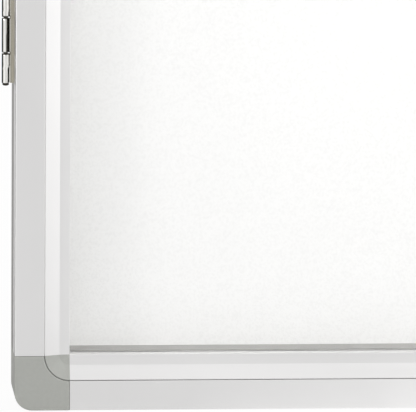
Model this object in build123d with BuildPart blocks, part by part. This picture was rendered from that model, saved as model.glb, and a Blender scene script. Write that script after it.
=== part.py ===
from build123d import *
import os

# Enclosed bulletin board: a wall case with a glazed door that swings on two butt hinges.
# Millimetres. +X right, +Z up, +Y into the wall. The origin is the centre of the four wall
# screws, on the rear face. A height is a distance from the wall towards the viewer, and an
# inset is a distance from an outer side face towards the middle of the board.

# Overall sizes
board_width = 610.0
board_height = 914.0
frame_face = 38.0
corner_radius = 12.2
case_depth = 27.2
door_depth = 20.0

# Walls and running clearances
metal_wall = 1.6
slot_lip = 1.5
seat_clearance = 0.1
spigot_clearance = 0.15
door_edge_round = 1.0
case_edge_round = 0.5
seam_round = 0.5
lip_round = 0.3
screw_clearance = 0.05
same_point = 0.01

# Notice panel of three bonded layers, held in a slot of the case
face_sheet = 0.7
core_thickness = 4.7
back_sheet = 0.6
slot_engagement = 10.0
panel_edge_gap = 0.5

# Door section: box, seam groove and snap-in glazing bead
flat_width = 20.45
seam_width = 0.3
seam_depth = 3.5
lip_width = 7.1
slope_drop = 4.5
lip_drop = 1.3
bead_wall = 1.5
bead_clearance = 0.05
pane_thickness = 3.0
gasket_thickness = 1.0
pane_edge_gap = 1.7
gasket_edge_gap = 2.5
seal_width = 6.5
seal_edge_gap = 0.5
seal_clearance = 0.2

# Corner pieces
spigot_length = 32.0
spigot_lead_in = 1.2
wall_screw_inset = 15.0
wall_hole_radius = 2.75
wall_head_radius = 5.5
wall_seat_thickness = 10.0

# Countersunk screws
screw_radius = 1.5
screw_head_radius = 3.1
joint_head_depth = 1.2
joint_screw_length = 12.0
hinge_screw_length = 9.0
recess_width = 0.8
recess_span = 3.0
recess_depth = 0.7

# Butt hinges
hinge_offset = 200.0
end_knuckle = 20.5
middle_knuckle = 24.7
knuckle_gap = 0.3
barrel_radius = 2.7
barrel_standoff = 5.6
pin_radius = 1.5
pin_fixed_clearance = 0.02
pin_running_clearance = 0.05
pin_tip_radius = 2.3
pin_tip_length = 2.0
pin_tip_gap = 0.1
pin_tip_round = 1.7
leaf_thickness = 1.2
leaf_clearance = 0.4
leaf_reach = 19.0
leaf_barrel_gap = 0.6
leaf_corner_radius = 3.0
leaf_screw_pitch = 22.0
leaf_screw_inset = 11.0

# Cam lock
bezel_radius = 8.0
bezel_thickness = 1.5
bezel_round = 0.75
lock_radius = 6.0
lock_clearance = 0.1
lock_tail_gap = 0.3
nut_flats = 14.0
nut_clearance = 0.4
plug_radius = 4.5
plug_clearance = 0.08
plug_recess = 0.3
tail_size = 5.0
cam_clearance = 0.06
cam_thickness = 1.6
cam_width = 10.0
cam_length = 17.0
cam_tip_round = 2.5
cam_behind_wall = 0.7
cam_screw_head_radius = 3.6
cam_screw_head = 2.0
cam_screw_round = 0.7
cam_screw_length = 7.0
keyway_width = 2.2
keyway_height = 7.2
keyway_depth = 20.0
key_clearance = 0.1
key_blade_length = 18.0
key_shoulder = 1.0
key_neck_width = 9.0
key_bow_radius = 10.5
key_bow_reach = 14.0
key_hole_radius = 3.2
key_hole_offset = 5.2
key_notch_count = 4
key_notch_radius = 1.1
key_notch_pitch = 3.4
key_notch_start = 3.0

# Keeper plate around the cam's window in the case
window_side_clearance = 1.5
window_end_clearance = 2.5
window_round = 1.5
keeper_thickness = 0.8
keeper_margin = 9.0
keeper_seal_gap = 2.5
keeper_outer_inset = 1.8
rivet_radius = 1.5
rivet_head_radius = 2.6
rivet_head = 0.6
rivet_length = 5.0

# Places worked out from the sizes above
half_width = board_width / 2
half_height = board_height / 2
parting_gap = 2 * leaf_thickness + leaf_clearance
door_back = case_depth + parting_gap
door_front = door_back + door_depth
parting_height = case_depth + parting_gap / 2
rail_run = board_width - 2 * frame_face
stile_run = board_height - 2 * frame_face

panel_thickness = back_sheet + core_thickness + face_sheet
panel_back = slot_lip + seat_clearance
slot_height = panel_thickness + 2 * seat_clearance
slot_top = slot_lip + slot_height
slot_floor = frame_face - slot_engagement
panel_inset = slot_floor + panel_edge_gap

gasket_base = door_back + metal_wall
pane_back = gasket_base + gasket_thickness
pane_front = pane_back + pane_thickness
slope_foot_inset = frame_face - lip_width
slope_foot = door_front - slope_drop
lip_height = slope_foot - lip_drop
quadrant_radius = frame_face - flat_width
pane_cover = quadrant_radius - pane_edge_gap
gasket_width = pane_cover - bead_wall - gasket_edge_gap
seal_inset = frame_face - seal_edge_gap - seal_width

shank_hole_radius = screw_radius + screw_clearance
head_hole_radius = screw_head_radius + screw_clearance

hinge_axis_x = -half_width - barrel_standoff
hinge_height = 2 * end_knuckle + middle_knuckle
lock_x = half_width - flat_width / 2
lock_rear = case_depth + keeper_thickness + lock_tail_gap
cam_top = case_depth - metal_wall - cam_behind_wall
cam_base = cam_top - cam_thickness
keeper_front = case_depth + keeper_thickness
keeper_inner_inset = seal_inset - keeper_seal_gap
nut_thickness = parting_gap - keeper_thickness - nut_clearance

# Each side's outer face: a point on it, the way inwards, and the length of its straight run
SIDES = {
    "left": ((-half_width, 0, 0), (1, 0, 0), stile_run),
    "bottom": ((0, 0, -half_height), (0, 0, 1), rail_run),
    "right": ((half_width, 0, 0), (-1, 0, 0), stile_run),
    "top": ((0, 0, half_height), (0, 0, -1), rail_run),
}

# Each outer corner, and the direction of its first leg
CORNERS = {
    "bottom_left": ((-half_width, 0, -half_height), (1, 0, 0)),
    "bottom_right": ((half_width, 0, -half_height), (0, 0, 1)),
    "top_right": ((half_width, 0, half_height), (-1, 0, 0)),
    "top_left": ((-half_width, 0, half_height), (0, 0, -1)),
}

TOWARDS_VIEWER = Vector(0, -1, 0)
WALL = Plane(origin=(0, 0, 0), x_dir=(1, 0, 0), z_dir=(0, -1, 0))
CASE_RAIL_NAMES = {
    "left": "case_hinge_stile", "bottom": "case_bottom_rail",
    "right": "case_lock_stile", "top": "case_top_rail",
}
DOOR_RAIL_NAMES = {
    "left": "door_hinge_stile", "bottom": "door_bottom_rail",
    "right": "door_lock_stile", "top": "door_top_rail",
}


def side_plane(side):
    """Cross-section plane of one side: x is the inset and y the height."""
    origin, inward, _ = SIDES[side]
    return Plane(origin=origin, x_dir=inward, z_dir=Vector(*inward).cross(TOWARDS_VIEWER))


def corner_plane(corner, height):
    """Plane seen from the front at one outer corner, with both axes pointing inwards."""
    origin, first_leg = CORNERS[corner]
    return Plane(origin=origin, x_dir=first_leg, z_dir=TOWARDS_VIEWER).offset(height)


def place(x, height, z, direction):
    """Plane at a point of the board, facing a direction, with its x axis level."""
    return Plane(origin=(x, -height, z), x_dir=(1, 0, 0), z_dir=direction)


def joint_screw_places(height, direction, inset):
    """Planes of the eight screws that fix the rails and stiles to the corner spigots."""
    along = frame_face + spigot_length / 2
    places = []
    for side_x in (-1, 1):
        for side_z in (-1, 1):
            rail_point = (side_x * (half_width - along), side_z * (half_height - inset))
            stile_point = (side_x * (half_width - inset), side_z * (half_height - along))
            for x, z in (rail_point, stile_point):
                places.append(place(x, height, z, direction))
    return places


def hinge_screw_places(height, direction):
    """Planes of the six screws that fix one set of hinge leaves."""
    x = -half_width + leaf_screw_inset
    places = []
    for hinge_z in (-hinge_offset, hinge_offset):
        for step in (-1, 0, 1):
            places.append(place(x, height, hinge_z + step * leaf_screw_pitch, direction))
    return places


def tangent_neighbours(arc, edges):
    """Straight edges that share an end with an arc."""
    ends = [arc @ 0, arc @ 1]
    touching = []
    for edge in edges:
        gaps = [(edge @ t - end).length for t in (0, 1) for end in ends]
        if min(gaps) < same_point:
            touching.append(edge)
    return touching


def nearest_circle(piece, arc):
    """The round edge of a part that lies closest to an arc found earlier."""
    circles = piece.edges().filter_by(GeomType.CIRCLE)
    return circles.sort_by(lambda edge: (edge @ 0.5 - arc @ 0.5).length)[0]


def save(solid, name):
    """Label a finished piece and write it out."""
    solid.label = name
    export_step(solid, f"parts/{name}.step")


def make_screws(name, places, length, head_depth):
    """Countersunk cross-recess screws, with their heads flush with each plane."""
    with BuildPart() as screws:
        with Locations(*[p.offset(-head_depth / 2) for p in places]):
            Cone(screw_radius, screw_head_radius, head_depth)
        with Locations(*[p.offset(-(head_depth + length) / 2) for p in places]):
            Cylinder(screw_radius, length - head_depth)
        with Locations(*[p.offset(-recess_depth / 2) for p in places]):
            Box(recess_span, recess_width, recess_depth, mode=Mode.SUBTRACT)
            Box(recess_width, recess_span, recess_depth, mode=Mode.SUBTRACT)
    save(screws.part, name)


def make_case_rail(side):
    """One straight length of the two-chamber case section, with its screw holes."""
    _, _, run = SIDES[side]
    chamber_floor = slot_top + slot_lip
    with BuildPart() as rail:
        with BuildSketch(side_plane(side)) as section:
            Rectangle(frame_face, case_depth, align=(Align.MIN, Align.MIN))
            fillet(section.vertices().group_by(Axis.X)[0], case_edge_round)
            with Locations((metal_wall, chamber_floor)):
                Rectangle(
                    frame_face - 2 * metal_wall, case_depth - metal_wall - chamber_floor,
                    align=(Align.MIN, Align.MIN), mode=Mode.SUBTRACT)
            with Locations((metal_wall, slot_lip)):
                Rectangle(
                    slot_floor - 2 * metal_wall, slot_height,
                    align=(Align.MIN, Align.MIN), mode=Mode.SUBTRACT)
            with Locations((slot_floor, slot_lip)):
                Rectangle(slot_engagement, slot_height, align=(Align.MIN, Align.MIN), mode=Mode.SUBTRACT)
        extrude(amount=run / 2, both=True)
        wall_cut = case_depth - chamber_floor
        with Locations(*joint_screw_places(case_depth, TOWARDS_VIEWER, frame_face / 2)):
            CounterSinkHole(shank_hole_radius, head_hole_radius, depth=wall_cut / 2)
        if side == "left":
            with Locations(*hinge_screw_places(case_depth, TOWARDS_VIEWER)):
                Hole(shank_hole_radius, depth=wall_cut / 2)
        if side == "right":
            with BuildSketch(WALL.offset(case_depth)):
                window_outline()
            extrude(amount=-wall_cut / 2, mode=Mode.SUBTRACT)
            with Locations(*keeper_rivet_places()):
                Hole(rivet_radius + screw_clearance, depth=wall_cut / 2)
    save(rail.part, CASE_RAIL_NAMES[side])


def window_span():
    """Lowest and highest point of the window that the cam passes through."""
    low = -cam_length - window_end_clearance
    high = cam_width / 2 + window_end_clearance
    return low, high


def window_outline():
    """Rounded slot for the unlocked cam, added to the sketch that is open."""
    low, high = window_span()
    with Locations((lock_x, (low + high) / 2)):
        RectangleRounded(cam_width + 2 * window_side_clearance, high - low, window_round)


def keeper_rivet_places():
    """Planes of the two rivets at the ends of the keeper plate."""
    low, high = window_span()
    inset = (keeper_inner_inset + keeper_outer_inset) / 2
    x = half_width - inset
    ends = (low - keeper_margin / 2, high + keeper_margin / 2)
    return [place(x, keeper_front, z, TOWARDS_VIEWER) for z in ends]


def make_case_corner(corner):
    """Moulded corner of the case with two spigots, a wall-screw seat and the panel slot."""
    chamber_floor = slot_top + slot_lip
    spigot_width = frame_face - 2 * metal_wall - 2 * spigot_clearance
    spigot_base = chamber_floor + spigot_clearance
    spigot_height = case_depth - metal_wall - spigot_clearance - spigot_base
    spigot_inset = metal_wall + spigot_clearance
    with BuildPart() as piece:
        with BuildSketch(corner_plane(corner, 0)) as outline:
            Rectangle(frame_face, frame_face, align=(Align.MIN, Align.MIN))
            fillet(outline.vertices().sort_by_distance((0, 0, 0))[0], corner_radius)
        extrude(amount=case_depth)
        for face in (piece.faces().sort_by(Axis.Y)[0], piece.faces().sort_by(Axis.Y)[-1]):
            arc = face.edges().filter_by(GeomType.CIRCLE)[0]
            fillet([arc] + tangent_neighbours(arc, face.edges().filter_by(GeomType.LINE)), case_edge_round)
        with BuildSketch(corner_plane(corner, spigot_base)) as spigots:
            with Locations((frame_face, spigot_inset)):
                Rectangle(spigot_length, spigot_width, align=(Align.MIN, Align.MIN))
            with Locations((spigot_inset, frame_face)):
                Rectangle(spigot_width, spigot_length, align=(Align.MIN, Align.MIN))
            tips = spigots.vertices().sort_by_distance((0, 0, 0))[-4:]
            chamfer(tips, spigot_lead_in)
        extrude(amount=spigot_height)
        with BuildSketch(corner_plane(corner, slot_lip)):
            with Locations((slot_floor, slot_floor)):
                Rectangle(slot_engagement, slot_engagement, align=(Align.MIN, Align.MIN))
        extrude(amount=slot_height, mode=Mode.SUBTRACT)
        with Locations(corner_plane(corner, case_depth)):
            with Locations((wall_screw_inset, wall_screw_inset)):
                CounterBoreHole(wall_hole_radius, wall_head_radius, case_depth - wall_seat_thickness)
        with Locations(*joint_screw_places(case_depth, TOWARDS_VIEWER, frame_face / 2)):
            Hole(shank_hole_radius, depth=joint_screw_length + seat_clearance)
    save(piece.part, f"case_corner_{corner}")


def make_panel_layer(name, height, thickness):
    """One flat layer of the notice panel."""
    with BuildPart() as layer:
        with BuildSketch(WALL.offset(height)):
            Rectangle(board_width - 2 * panel_inset, board_height - 2 * panel_inset)
        extrude(amount=thickness)
    save(layer.part, name)


def make_pane():
    """Clear pane with rounded corners that follow the quarter-round bead corners."""
    edge_inset = frame_face - pane_cover
    with BuildPart() as pane:
        with BuildSketch(WALL.offset(pane_back)):
            RectangleRounded(board_width - 2 * edge_inset, board_height - 2 * edge_inset, pane_cover)
        extrude(amount=pane_thickness)
    save(pane.part, "door_pane")


def make_door_rail(side):
    """One straight length of the door's box section, with the flange behind the pane."""
    _, _, run = SIDES[side]
    with BuildPart() as rail:
        with BuildSketch(side_plane(side)) as section:
            with Locations((0, door_back)):
                Rectangle(frame_face, metal_wall, align=(Align.MIN, Align.MIN))
                Rectangle(flat_width, door_depth, align=(Align.MIN, Align.MIN))
            front = section.vertices().group_by(Axis.Y)[-1].sort_by(Axis.X)
            fillet(front[0], door_edge_round)
            fillet(section.vertices().group_by(Axis.Y)[-1].sort_by(Axis.X)[-1], seam_round)
            with Locations((metal_wall, gasket_base)):
                Rectangle(
                    flat_width - 2 * metal_wall, door_depth - 2 * metal_wall,
                    align=(Align.MIN, Align.MIN), mode=Mode.SUBTRACT)
        extrude(amount=run / 2, both=True)
        with Locations(*joint_screw_places(door_back, -TOWARDS_VIEWER, flat_width / 2)):
            CounterSinkHole(shank_hole_radius, head_hole_radius, depth=2 * metal_wall)
        if side == "left":
            with Locations(*hinge_screw_places(door_back, -TOWARDS_VIEWER)):
                Hole(shank_hole_radius, depth=2 * metal_wall)
        if side == "right":
            with Locations(place(lock_x, door_front, 0, TOWARDS_VIEWER)):
                Hole(lock_radius + lock_clearance, depth=door_depth)
    save(rail.part, DOOR_RAIL_NAMES[side])


def make_door_corner(corner):
    """Moulded corner of the door: spigots, pane pocket and the quarter-round seam."""
    spigot_width = flat_width - 2 * metal_wall - 2 * spigot_clearance
    spigot_inset = metal_wall + spigot_clearance
    spigot_base = gasket_base + spigot_clearance
    spigot_height = door_depth - 2 * metal_wall - 2 * spigot_clearance
    with BuildPart() as piece:
        with BuildSketch(corner_plane(corner, door_back)) as outline:
            Rectangle(frame_face, frame_face, align=(Align.MIN, Align.MIN))
            fillet(outline.vertices().sort_by_distance((0, 0, 0))[0], corner_radius)
        extrude(amount=door_depth)
        with BuildSketch(corner_plane(corner, gasket_base)):
            with Locations((frame_face, frame_face)):
                Circle(quadrant_radius)
        extrude(amount=door_depth, mode=Mode.SUBTRACT)
        front_edges = piece.faces().sort_by(Axis.Y)[0].edges()
        outer_arc = front_edges.filter_by(GeomType.CIRCLE).sort_by(SortBy.RADIUS)[-1]
        seam_arc = front_edges.filter_by(GeomType.CIRCLE).sort_by(SortBy.RADIUS)[0]
        straight = front_edges.filter_by(GeomType.LINE)
        fillet([outer_arc] + tangent_neighbours(outer_arc, straight), door_edge_round)
        seam_edge = nearest_circle(piece, seam_arc)
        fillet(seam_edge, seam_round)
        with BuildSketch(corner_plane(corner, spigot_base)) as spigots:
            with Locations((frame_face, spigot_inset)):
                Rectangle(spigot_length, spigot_width, align=(Align.MIN, Align.MIN))
            with Locations((spigot_inset, frame_face)):
                Rectangle(spigot_width, spigot_length, align=(Align.MIN, Align.MIN))
            tips = spigots.vertices().sort_by_distance((0, 0, 0))[-4:]
            chamfer(tips, spigot_lead_in)
        extrude(amount=spigot_height)
        with Locations(*joint_screw_places(door_back, -TOWARDS_VIEWER, flat_width / 2)):
            Hole(shank_hole_radius, depth=joint_screw_length + seat_clearance)
    save(piece.part, f"door_corner_{corner}")


def bead_section():
    """Cross-section of the glazing bead as inset and height, before its edges are rounded."""
    groove = flat_width + seam_width
    leg_inner = groove + bead_wall
    grip = flat_width + bead_clearance
    lip_wall = frame_face - bead_wall
    return [
        (groove, door_front), (slope_foot_inset, slope_foot), (frame_face, lip_height),
        (frame_face, pane_front), (lip_wall, pane_front), (lip_wall, lip_height - bead_wall),
        (slope_foot_inset, slope_foot - bead_wall), (leg_inner, door_front - 2 * bead_wall),
        (leg_inner, pane_front), (grip, pane_front), (grip, door_front - seam_depth),
        (groove, door_front - seam_depth),
    ]


def make_bead(side):
    """Straight glazing bead with a sloping face and a nearly flat one."""
    _, _, run = SIDES[side]
    with BuildPart() as bead:
        with BuildSketch(side_plane(side)) as section:
            with BuildLine():
                Polyline(*bead_section(), close=True)
            make_face()
            crest = section.vertices().sort_by(Axis.Y)[-1]
            fillet(crest, seam_round)
            lip = section.vertices().sort_by_distance((frame_face, lip_height, 0))[0]
            fillet(lip, lip_round)
        extrude(amount=run / 2, both=True)
    save(bead.part, f"glazing_bead_{side}")


def make_bead_corner(corner):
    """Quarter-round bead corner: the bead's section turned about the inner corner."""
    first_leg = Vector(*CORNERS[corner][1])
    pivot = corner_plane(corner, 0).from_local_coords((frame_face, frame_face, 0))
    turning = Plane(origin=pivot, x_dir=-first_leg, z_dir=(-first_leg).cross(TOWARDS_VIEWER))
    with BuildPart() as quadrant:
        with BuildSketch(turning) as section:
            with BuildLine():
                Polyline(*[(frame_face - inset, height) for inset, height in bead_section()], close=True)
            make_face()
            crest = section.vertices().sort_by(Axis.Y)[-1]
            fillet(crest, seam_round)
        revolve(axis=Axis(pivot, TOWARDS_VIEWER), revolution_arc=90)
    save(quadrant.part, f"bead_corner_{corner}")


def make_gasket(side):
    """Foam strip that beds the pane on the door's flange."""
    _, _, run = SIDES[side]
    with BuildPart() as gasket:
        with BuildSketch(side_plane(side)):
            with Locations((frame_face - bead_wall - gasket_width, gasket_base)):
                Rectangle(gasket_width, gasket_thickness, align=(Align.MIN, Align.MIN))
        extrude(amount=run / 2, both=True)
    save(gasket.part, f"glazing_gasket_{side}")


def make_dust_seal(side):
    """Strip on the back of the door that closes the parting gap around the display space."""
    level = side in ("top", "bottom")
    span = (half_width if level else half_height) - seal_inset
    if not level:
        span -= seal_width
    with BuildPart() as seal:
        with BuildSketch(side_plane(side)):
            with Locations((seal_inset, case_depth + seal_clearance)):
                RectangleRounded(
                    seal_width, parting_gap - seal_clearance, seam_round,
                    align=(Align.MIN, Align.MIN))
        extrude(amount=span, both=True)
    save(seal.part, f"dust_seal_{side}")


def make_hinge_leaf(position, hinge_z, on_door):
    """One stamped leaf with its rolled knuckles: the middle one or the two end ones."""
    owner = "door" if on_door else "case"
    base = door_back - leaf_thickness if on_door else case_depth
    barrel_plane = Plane.XY.offset(hinge_z)
    running = pin_running_clearance if on_door else pin_fixed_clearance
    if on_door:
        knuckles = [(0, middle_knuckle - 2 * knuckle_gap)]
    else:
        step = (middle_knuckle + end_knuckle) / 2
        knuckles = [(-step, end_knuckle), (step, end_knuckle)]
    plate_start = hinge_axis_x + barrel_radius + leaf_barrel_gap
    plate_end = -half_width + leaf_reach
    with BuildPart() as leaf:
        with BuildSketch(WALL.offset(base)) as outline:
            with Locations(((plate_start + plate_end) / 2, hinge_z)):
                Rectangle(plate_end - plate_start, hinge_height)
            fillet(outline.vertices().group_by(Axis.X)[-1], leaf_corner_radius)
            for centre, length in knuckles:
                with Locations((hinge_axis_x, hinge_z + centre)):
                    Rectangle(barrel_radius + leaf_barrel_gap, length, align=(Align.MIN, Align.CENTER))
        extrude(amount=leaf_thickness)
        for centre, length in knuckles:
            with BuildSketch(barrel_plane.offset(centre - length / 2)):
                with Locations((hinge_axis_x, -parting_height)):
                    Circle(barrel_radius)
            extrude(amount=length)
            with BuildSketch(barrel_plane.offset(centre - length / 2)):
                with Locations((hinge_axis_x, -parting_height)):
                    Circle(pin_radius + running)
            extrude(amount=length, mode=Mode.SUBTRACT)
        height = base if on_door else base + leaf_thickness
        facing = -TOWARDS_VIEWER if on_door else TOWARDS_VIEWER
        near = [p for p in hinge_screw_places(height, facing) if abs(p.origin.Z - hinge_z) < hinge_height / 2]
        with Locations(*near):
            CounterSinkHole(shank_hole_radius, head_hole_radius)
    save(leaf.part, f"hinge_{owner}_leaf_{position}")


def make_hinge_pin(position, hinge_z):
    """Hinge pin with a domed button at each end."""
    with BuildPart() as pin:
        with BuildSketch(Plane.XY.offset(hinge_z - hinge_height / 2 - pin_tip_gap)):
            with Locations((hinge_axis_x, -parting_height)):
                Circle(pin_radius)
        extrude(amount=hinge_height + 2 * pin_tip_gap)
        for way in (-1, 1):
            start = hinge_z + way * (hinge_height / 2 + pin_tip_gap)
            with BuildSketch(Plane.XY.offset(start)):
                with Locations((hinge_axis_x, -parting_height)):
                    Circle(pin_tip_radius)
            extrude(amount=way * pin_tip_length)
            rim = pin.edges().filter_by(GeomType.CIRCLE).sort_by(Axis.Z)[-1 if way > 0 else 0]
            fillet(rim, min(pin_tip_round, pin_tip_length - seat_clearance))
    save(pin.part, f"hinge_pin_{position}")


def make_keeper_plate():
    """Steel plate that lines the cam's window on the front of the case."""
    low, high = window_span()
    width = keeper_inner_inset - keeper_outer_inset
    with BuildPart() as plate:
        with BuildSketch(WALL.offset(case_depth)):
            with Locations((half_width - (keeper_inner_inset + keeper_outer_inset) / 2, (low + high) / 2)):
                RectangleRounded(width, high - low + 2 * keeper_margin, window_round)
            with BuildSketch(mode=Mode.SUBTRACT):
                window_outline()
        extrude(amount=keeper_thickness)
        with Locations(*keeper_rivet_places()):
            Hole(rivet_radius + screw_clearance, depth=2 * keeper_thickness)
    save(plate.part, "keeper_plate")


def make_keeper_rivets():
    """Two low-headed rivets that hold the keeper plate."""
    with BuildPart() as rivets:
        with Locations(*[p.offset(-rivet_length / 2) for p in keeper_rivet_places()]):
            Cylinder(rivet_radius, rivet_length)
        with Locations(*[p.offset(rivet_head / 2) for p in keeper_rivet_places()]):
            Cylinder(rivet_head_radius, rivet_head)
    save(rivets.part, "keeper_rivets")


def make_lock_body():
    """Round lock barrel with a bezel on the front of the door."""
    with BuildPart() as body:
        with BuildSketch(WALL.offset(lock_rear)):
            with Locations((lock_x, 0)):
                Circle(lock_radius)
        extrude(amount=door_front - lock_rear)
        with BuildSketch(WALL.offset(door_front)):
            with Locations((lock_x, 0)):
                Circle(bezel_radius)
        extrude(amount=bezel_thickness)
        rim = body.edges().filter_by(GeomType.CIRCLE).sort_by(Axis.Y)[0]
        fillet(rim, bezel_round)
        with BuildSketch(WALL.offset(lock_rear)):
            with Locations((lock_x, 0)):
                Circle(plug_radius + plug_clearance)
        extrude(amount=door_front + bezel_thickness - lock_rear, mode=Mode.SUBTRACT)
    save(body.part, "lock_body")


def make_lock_nut():
    """Thin hexagon nut that clamps the lock from behind the door."""
    with BuildPart() as nut:
        with BuildSketch(WALL.offset(door_back - nut_thickness)):
            with Locations((lock_x, 0)):
                RegularPolygon(nut_flats / 2, 6, major_radius=False)
                Circle(lock_radius + screw_clearance, mode=Mode.SUBTRACT)
        extrude(amount=nut_thickness)
    save(nut.part, "lock_nut")


def make_lock_plug():
    """Turning plug with its keyway in front and a square tail for the cam behind."""
    plug_front = door_front + bezel_thickness - plug_recess
    with BuildPart() as plug:
        with BuildSketch(WALL.offset(lock_rear)):
            with Locations((lock_x, 0)):
                Circle(plug_radius)
        extrude(amount=plug_front - lock_rear)
        with BuildSketch(WALL.offset(cam_base)):
            with Locations((lock_x, 0)):
                Rectangle(tail_size, tail_size)
        extrude(amount=lock_rear - cam_base)
        with BuildSketch(WALL.offset(plug_front - keyway_depth)):
            with Locations((lock_x, 0)):
                Rectangle(keyway_width, keyway_height)
        extrude(amount=keyway_depth, mode=Mode.SUBTRACT)
        with Locations(place(lock_x, cam_base, 0, -TOWARDS_VIEWER)):
            Hole(shank_hole_radius, depth=cam_screw_length)
    save(plug.part, "lock_plug")


def make_lock_cam():
    """Flat lever that hangs down when unlocked and turns in behind the case's front wall."""
    with BuildPart() as cam:
        with BuildSketch(WALL.offset(cam_base)):
            with Locations((lock_x, 0)):
                Circle(cam_width / 2)
            with Locations((lock_x, -cam_length / 2)):
                Rectangle(cam_width, cam_length)
            with Locations((lock_x, 0)):
                Rectangle(tail_size + 2 * cam_clearance, tail_size + 2 * cam_clearance, mode=Mode.SUBTRACT)
        extrude(amount=cam_thickness)
        tip = cam.edges().filter_by(Axis.Y).group_by(Axis.Z)[0]
        fillet(tip, cam_tip_round)
    save(cam.part, "lock_cam")


def make_cam_screw():
    """Screw that holds the cam on the plug's tail."""
    with BuildPart() as screw:
        with BuildSketch(WALL.offset(cam_base - cam_screw_head)):
            with Locations((lock_x, 0)):
                Circle(cam_screw_head_radius)
        extrude(amount=cam_screw_head)
        fillet(screw.edges().filter_by(GeomType.CIRCLE).sort_by(Axis.Y)[-1], cam_screw_round)
        with BuildSketch(WALL.offset(cam_base)):
            with Locations((lock_x, 0)):
                Circle(screw_radius)
        extrude(amount=cam_screw_length - seat_clearance)
        with Locations(place(lock_x, cam_base - cam_screw_head + recess_depth / 2, 0, -TOWARDS_VIEWER)):
            Box(recess_span, recess_width, recess_depth, mode=Mode.SUBTRACT)
            Box(recess_width, recess_span, recess_depth, mode=Mode.SUBTRACT)
    save(screw.part, "lock_cam_screw")


def make_lock_key():
    """Flat key in the keyway: blade, shoulder and a round bow with a ring hole."""
    plug_front = door_front + bezel_thickness - plug_recess
    shoulder = door_front + bezel_thickness + key_shoulder
    bow_centre = shoulder + key_bow_reach
    thickness = keyway_width - 2 * key_clearance
    side_view = Plane(origin=(lock_x - thickness / 2, 0, 0), x_dir=(0, 0, 1), z_dir=(1, 0, 0))
    with BuildPart() as key:
        with BuildSketch(side_view):
            with Locations((0, bow_centre)):
                Circle(key_bow_radius)
            with Locations((0, (shoulder + bow_centre) / 2)):
                Rectangle(key_neck_width, bow_centre - shoulder)
            with Locations((0, (plug_front - key_blade_length + shoulder) / 2)):
                Rectangle(keyway_height - 2 * key_clearance, shoulder - plug_front + key_blade_length)
            with Locations((0, bow_centre + key_hole_offset)):
                Circle(key_hole_radius, mode=Mode.SUBTRACT)
            blade_end = plug_front - key_blade_length
            for k in range(key_notch_count):
                with Locations((keyway_height / 2, blade_end + key_notch_start + k * key_notch_pitch)):
                    Circle(key_notch_radius, mode=Mode.SUBTRACT)
        extrude(amount=thickness)
    save(key.part, "lock_key")


def main():
    os.makedirs("parts", exist_ok=True)
    for side in SIDES:
        make_case_rail(side)
        make_door_rail(side)
        make_bead(side)
        make_gasket(side)
        make_dust_seal(side)
    for corner in CORNERS:
        make_case_corner(corner)
        make_door_corner(corner)
        make_bead_corner(corner)
    make_panel_layer("panel_back_sheet", panel_back, back_sheet)
    make_panel_layer("panel_core", panel_back + back_sheet, core_thickness)
    make_panel_layer("panel_face_sheet", panel_back + back_sheet + core_thickness, face_sheet)
    make_pane()
    for position, hinge_z in (("lower", -hinge_offset), ("upper", hinge_offset)):
        make_hinge_leaf(position, hinge_z, on_door=False)
        make_hinge_leaf(position, hinge_z, on_door=True)
        make_hinge_pin(position, hinge_z)
    leaf_front = case_depth + leaf_thickness
    leaf_back = door_back - leaf_thickness
    case_places = joint_screw_places(case_depth, TOWARDS_VIEWER, frame_face / 2)
    door_places = joint_screw_places(door_back, -TOWARDS_VIEWER, flat_width / 2)
    make_screws("case_joint_screws", case_places, joint_screw_length, joint_head_depth)
    make_screws("door_joint_screws", door_places, joint_screw_length, joint_head_depth)
    case_leaf_places = hinge_screw_places(leaf_front, TOWARDS_VIEWER)
    door_leaf_places = hinge_screw_places(leaf_back, -TOWARDS_VIEWER)
    make_screws("hinge_case_screws", case_leaf_places, hinge_screw_length, leaf_thickness)
    make_screws("hinge_door_screws", door_leaf_places, hinge_screw_length, leaf_thickness)
    make_keeper_plate()
    make_keeper_rivets()
    make_lock_body()
    make_lock_nut()
    make_lock_plug()
    make_lock_cam()
    make_cam_screw()
    make_lock_key()


main()
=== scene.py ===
"""Looks for the enclosed bulletin board: finishes, detailed fittings, studio and camera.

Every length is in metres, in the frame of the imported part: +X right, +Z up, +Y into the wall.
"""

import logging
import math
from dataclasses import dataclass
from enum import Enum
from typing import Dict, Iterable, List, Sequence, Tuple, Union

import bmesh
import bpy
from mathutils import Matrix, Vector

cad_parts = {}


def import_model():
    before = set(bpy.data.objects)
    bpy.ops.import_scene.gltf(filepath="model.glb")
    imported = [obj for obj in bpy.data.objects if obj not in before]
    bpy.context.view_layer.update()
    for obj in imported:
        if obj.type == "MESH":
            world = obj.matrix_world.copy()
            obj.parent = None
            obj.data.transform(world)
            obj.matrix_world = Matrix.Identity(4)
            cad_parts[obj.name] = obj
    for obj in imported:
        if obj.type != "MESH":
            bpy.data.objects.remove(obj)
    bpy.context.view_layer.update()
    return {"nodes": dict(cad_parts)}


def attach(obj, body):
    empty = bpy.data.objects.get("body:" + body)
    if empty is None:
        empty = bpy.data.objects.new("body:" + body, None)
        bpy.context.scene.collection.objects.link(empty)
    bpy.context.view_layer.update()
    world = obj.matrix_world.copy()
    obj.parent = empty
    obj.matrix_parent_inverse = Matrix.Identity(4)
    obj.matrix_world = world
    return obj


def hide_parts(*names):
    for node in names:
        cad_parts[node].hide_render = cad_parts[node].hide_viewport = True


Pair = Tuple[float, float]
Triple = Tuple[float, float, float]
Colour = Tuple[float, float, float]
Socket = bpy.types.NodeSocket
Material = bpy.types.Material
Shape = bmesh.types.BMesh
Vert = bmesh.types.BMVert
Edge = bmesh.types.BMEdge
Nodes = Dict[str, bpy.types.Object]
Feed = Union[Socket, float, Sequence[float]]

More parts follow.
